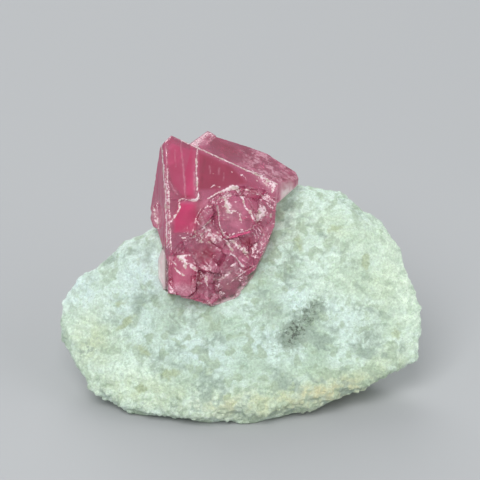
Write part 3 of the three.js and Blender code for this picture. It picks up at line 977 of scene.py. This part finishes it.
def marble_material():
    paint = Paint("sugary_marble")
    colour = pitted(paint, stains_and_reflection(paint, white_stone(paint)))
    grain = paint.noise(0.3, detail=3, roughness=0.7)
    powder = paint.ramp(grain, 0.35, 0.65, 0.81, 1.08)
    tone = paint.tree.nodes.new("ShaderNodeCombineColor")
    for channel in range(3):
        paint.feed(tone.inputs[channel], powder)
    paint.set("Base Color", paint.mix(1.0, colour, tone.outputs[0], "MULTIPLY"))
    paint.set("Roughness", paint.ramp(paint.cells(0.5), 0.75, 0.9, 0.85, 0.3))
    paint.set("IOR", STONE_IOR)
    paint.set("Subsurface Weight", LIGHT_SHARE)
    paint.set("Subsurface Radius", (1.0, 1.1, 0.9))
    paint.set("Subsurface Scale", LIGHT_REACH * MM)
    paint.bump(grain, GRAIN_BUMP)
    return paint.material


# The crystal's colours, and how it takes light
SPINEL_TINT = (0.84, 0.21, 0.37)
CLOUD_TINT = (0.72, 0.16, 0.28)
GLOW_TINT = (0.65, 0.02, 0.135)
# The dark of the painted shade where one looks into the dark inside
DEPTH_SHADE_TINT = (0.33, 0.02, 0.06)
SHADE_TINT = (0.40, 0.0, 0.09)
SMOKE_TINT = (0.22, 0.16, 0.13)
HAZE_TINT = (0.70, 0.38, 0.46)
# The white and cream of the frosted marks and of the painted glints
FROST_AND_GLINT_WHITE = (0.80, 0.63, 0.67)
FROST_AND_GLINT_CREAM = (0.50, 0.39, 0.34)
PALE_TINT = (0.94, 0.87, 0.84)
SPINEL_IOR = 1.718
ABSORBED_LEFT = (0.88, 0.10, 0.58, 1)
ABSORPTION_PER_METRE = 62
FACE_ROUGHNESS = 0.12
BREAK_ROUGHNESS = 0.17
FROST_ROUGHNESS = 0.35
CRYSTAL_BUMP = 0.05

# How clear the crystal is at most and at least, and the share of it that is left where it is
# white, where it is milky and where each mask is full
CLEAREST = 0.7
CLOUDIEST = 0.5
CLEAR_IF_WHITE = 0.12
CLEAR_IF_MILKY = 0.35
CLEAR_SHARES = {"glow": 0.6, "depth_shade": 0.6, "shade": 0.15, "pale": 0.5, "grown": 0.4}


def spinel_tint(paint):
    """The colour of the crystal where it is neither milky nor white."""
    cloud = paint.ramp(paint.noise(2.4, detail=3), 0.35, 0.7)
    tint = paint.mix(cloud, SPINEL_TINT, CLOUD_TINT)
    # A painted glow where light comes through, painted shade where one looks into the dark inside, and
    # painted shade on the left side
    for name, colour in (("glow", GLOW_TINT), ("depth_shade", DEPTH_SHADE_TINT), ("shade", SHADE_TINT)):
        tint = paint.mix(paint.mask(name), tint, colour)
    wisps = paint.ramp(paint.noise(0.8, detail=3), 0.35, 0.65, 0.5, 1.0)
    tint = paint.mix(paint.math("MULTIPLY", paint.mask("smoke"), wisps), tint, SMOKE_TINT)
    tint = paint.mix(paint.mask("pale"), tint, PALE_TINT)
    return paint.mix(paint.ramp(paint.mask("grown"), 0, 1, 0, 0.7), tint, PALE_TINT)


def whiteness(paint, chips):
    """How white each place is: frosted marks, painted glints and fine arcs, with rims that are chipped."""
    rings = paint.rings(from_display(CRYSTAL_PLACE + SHELL_MIDDLE), SHELL_SPACING)
    arcs = paint.math("MULTIPLY", rings, paint.math("MULTIPLY", paint.mask("shell"), 0.5))
    frost_and_glint = paint.math("MAXIMUM", paint.mask("frost_and_glint"), arcs)
    chipped = paint.ramp(chips, 0.3, 0.7, -0.32, 0.32)
    rim = paint.math("MULTIPLY", chipped, paint.ramp(frost_and_glint, 0.1, 0.4))
    return paint.ramp(paint.math("ADD", frost_and_glint, rim), 0.3, 0.7)


def clearness(paint, white, milky):
    """How far light goes through each place."""
    clear = paint.ramp(paint.noise(1.6, detail=4), 0.45, 0.75, CLEAREST, CLOUDIEST)
    clouding = [(white, CLEAR_IF_WHITE), (milky, CLEAR_IF_MILKY)]
    clouding += [(paint.mask(name), share) for name, share in CLEAR_SHARES.items()]
    for mask, share in clouding:
        clear = paint.math("MULTIPLY", clear, paint.ramp(mask, 0.0, 1.0, 1.0, share))
    return clear


def spinel_material():
    paint = Paint("pink_spinel")
    fracture = paint.mask("fracture")
    chips = paint.noise(0.3, detail=3, roughness=0.7)
    milky = paint.math("MULTIPLY", paint.mask("haze"), paint.ramp(chips, 0.3, 0.7, 0.5, 1.2))
    tint = paint.mix(paint.math("MINIMUM", milky, 0.9), spinel_tint(paint), HAZE_TINT)
    white = whiteness(paint, chips)
    frost_and_glint_colour = paint.mix(paint.ramp(paint.cells(0.45), 0.3, 0.8), FROST_AND_GLINT_WHITE, FROST_AND_GLINT_CREAM)
    paint.set("Base Color", paint.mix(white, tint, frost_and_glint_colour))
    paint.set("Transmission Weight", clearness(paint, white, milky))
    dull = paint.ramp(fracture, 0, 1, FACE_ROUGHNESS, BREAK_ROUGHNESS)
    frosting = paint.math("MULTIPLY", white, FROST_ROUGHNESS)
    paint.set("Roughness", paint.math("ADD", dull, frosting))
    paint.set("IOR", SPINEL_IOR)
    uneven = paint.math("MULTIPLY", paint.noise(0.9, detail=4), paint.ramp(fracture, 0, 1, 0.4, 1.0))
    paint.bump(uneven, CRYSTAL_BUMP)
    absorption = paint.tree.nodes.new("ShaderNodeVolumeAbsorption")
    absorption.inputs["Color"].default_value = ABSORBED_LEFT
    absorption.inputs["Density"].default_value = ABSORPTION_PER_METRE
    paint.feed(paint.output.inputs["Volume"], absorption.outputs["Volume"])
    return paint.material


# The stage

FLOOR_SIZE = 4000.0
FLOOR_GREY = (0.43, 0.44, 0.45)
LIGHTS = {
    "key": {"at": (-150, -490, 570), "size": 440, "watts": 4.2},
    "fill": {"at": (520, -300, 300), "size": 600, "watts": 1.4},
    "back": {"at": (-120, 520, 420), "size": 500, "watts": 2.0},
}
LIGHTS_AIM = (0, 0, 15)
ROOM_LIGHT = (0.93, 0.97, 1.0, 1)
ROOM_STRENGTH = 0.4


def add_floor():
    half = FLOOR_SIZE / 2 * MM
    mesh = bpy.data.meshes.new("floor")
    corners = [(-half, -half, 0), (half, -half, 0), (half, half, 0), (-half, half, 0)]
    mesh.from_pydata(corners, [], [(0, 1, 2, 3)])
    floor = bpy.data.objects.new("floor", mesh)
    bpy.context.scene.collection.objects.link(floor)
    paint = Paint("pale_floor")
    paint.set("Base Color", (*FLOOR_GREY, 1))
    paint.set("Roughness", 0.9)
    mesh.materials.append(paint.material)


def face_towards(thing, target):
    thing.rotation_euler = (Vector(target) - thing.location).to_track_quat("-Z", "Y").to_euler()


def add_light(name, at, size, watts):
    data = bpy.data.lights.new(name, "AREA")
    data.size = size * MM
    data.energy = watts
    lamp = bpy.data.objects.new(name, data)
    lamp.location = Vector(at) * MM
    face_towards(lamp, Vector(LIGHTS_AIM) * MM)
    bpy.context.scene.collection.objects.link(lamp)


def add_room():
    world = bpy.data.worlds.new("room")
    world.use_nodes = True
    background = world.node_tree.nodes["Background"]
    background.inputs["Color"].default_value = ROOM_LIGHT
    background.inputs["Strength"].default_value = ROOM_STRENGTH
    bpy.context.scene.world = world
    bpy.context.scene.view_settings.view_transform = "Standard"


def add_camera():
    data = bpy.data.cameras.new("camera")
    data.sensor_width = SENSOR_WIDTH
    data.lens = SENSOR_WIDTH * VIEW_DISTANCE / VIEW_WIDTH
    data.clip_start = 0.01
    camera = bpy.data.objects.new("camera", data)
    aim = from_display((*VIEW_AIM, 0))
    back = np.array([0, -math.cos(VIEW_ELEVATION), math.sin(VIEW_ELEVATION)])
    camera.location = Vector((aim + back * VIEW_DISTANCE) * MM)
    face_towards(camera, aim * MM)
    bpy.context.scene.collection.objects.link(camera)
    bpy.context.scene.camera = camera


# Assembly


def build():
    solid = welded(*arrays_of(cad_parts["spinel_crystal"].data))
    stone = welded(*arrays_of(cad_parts["marble_matrix"].data))
    tree = tree_of(*solid)
    crystal = crystal_mesh(*solid, tree, tree_of(*stone))
    piece_from(crystal, "pink_spinel", "spinel_crystal", spinel_material())
    marble = marble_mesh(*stone, tree)
    piece_from(marble, "white_marble", "marble_matrix", marble_material())


add_camera()
add_room()
add_floor()
for lamp_name, lamp in LIGHTS.items():
    add_light(lamp_name, **lamp)
build()
